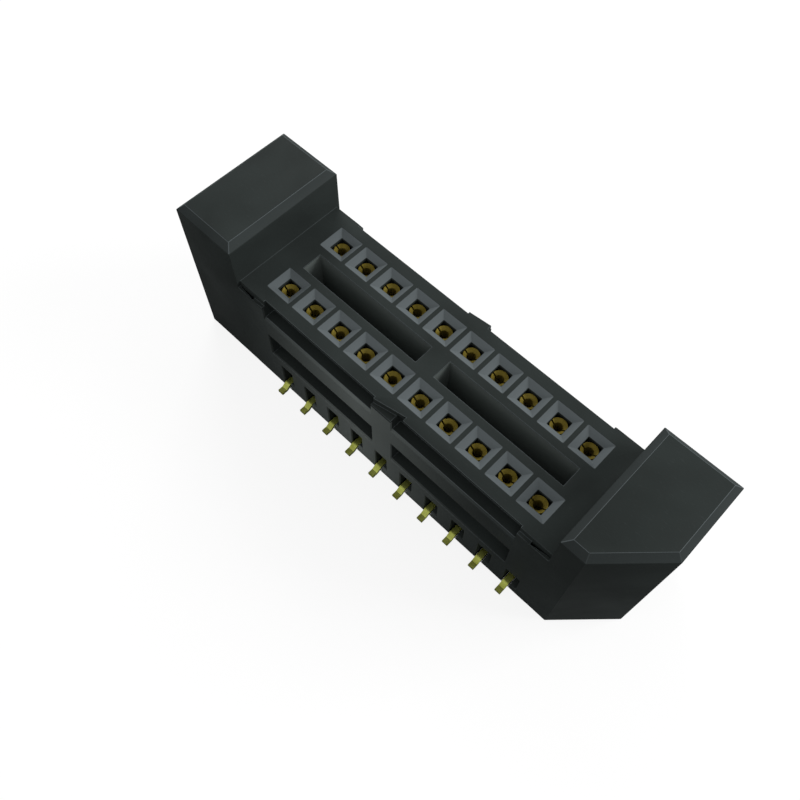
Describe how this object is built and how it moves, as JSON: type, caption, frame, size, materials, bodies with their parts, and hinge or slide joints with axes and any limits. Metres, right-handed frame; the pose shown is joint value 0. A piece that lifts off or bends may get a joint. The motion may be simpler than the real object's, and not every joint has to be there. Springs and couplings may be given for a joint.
{
  "type": "pcb socket",
  "caption": "Surface-mount board socket strip: two rows of spring contacts in a dark moulded housing with a tall block at each end, one with a cut corner.",
  "frame": {"origin": "on the board, under the middle of the housing", "axes": "+X along the rows towards the block with the cut corner, -Y the front, +Z away from the board"},
  "size_m": [0.0198, 0.0058, 0.0071],
  "materials": {
    "moulded_plastic": "satin, moulded",
    "gilt_contact": "gold-plated, bright"
  },
  "bodies": {
    "root": {"housing": "moulded_plastic", "contact_front_01": "gilt_contact", "contact_front_02": "gilt_contact", "contact_front_03": "gilt_contact", "contact_front_04": "gilt_contact", "contact_front_05": "gilt_contact", "contact_front_06": "gilt_contact", "contact_front_07": "gilt_contact", "contact_front_08": "gilt_contact", "contact_front_09": "gilt_contact", "contact_front_10": "gilt_contact", "contact_back_01": "gilt_contact", "contact_back_02": "gilt_contact", "contact_back_03": "gilt_contact", "contact_back_04": "gilt_contact", "contact_back_05": "gilt_contact", "contact_back_06": "gilt_contact", "contact_back_07": "gilt_contact", "contact_back_08": "gilt_contact", "contact_back_09": "gilt_contact", "contact_back_10": "gilt_contact"}
  },
  "joints": []
}
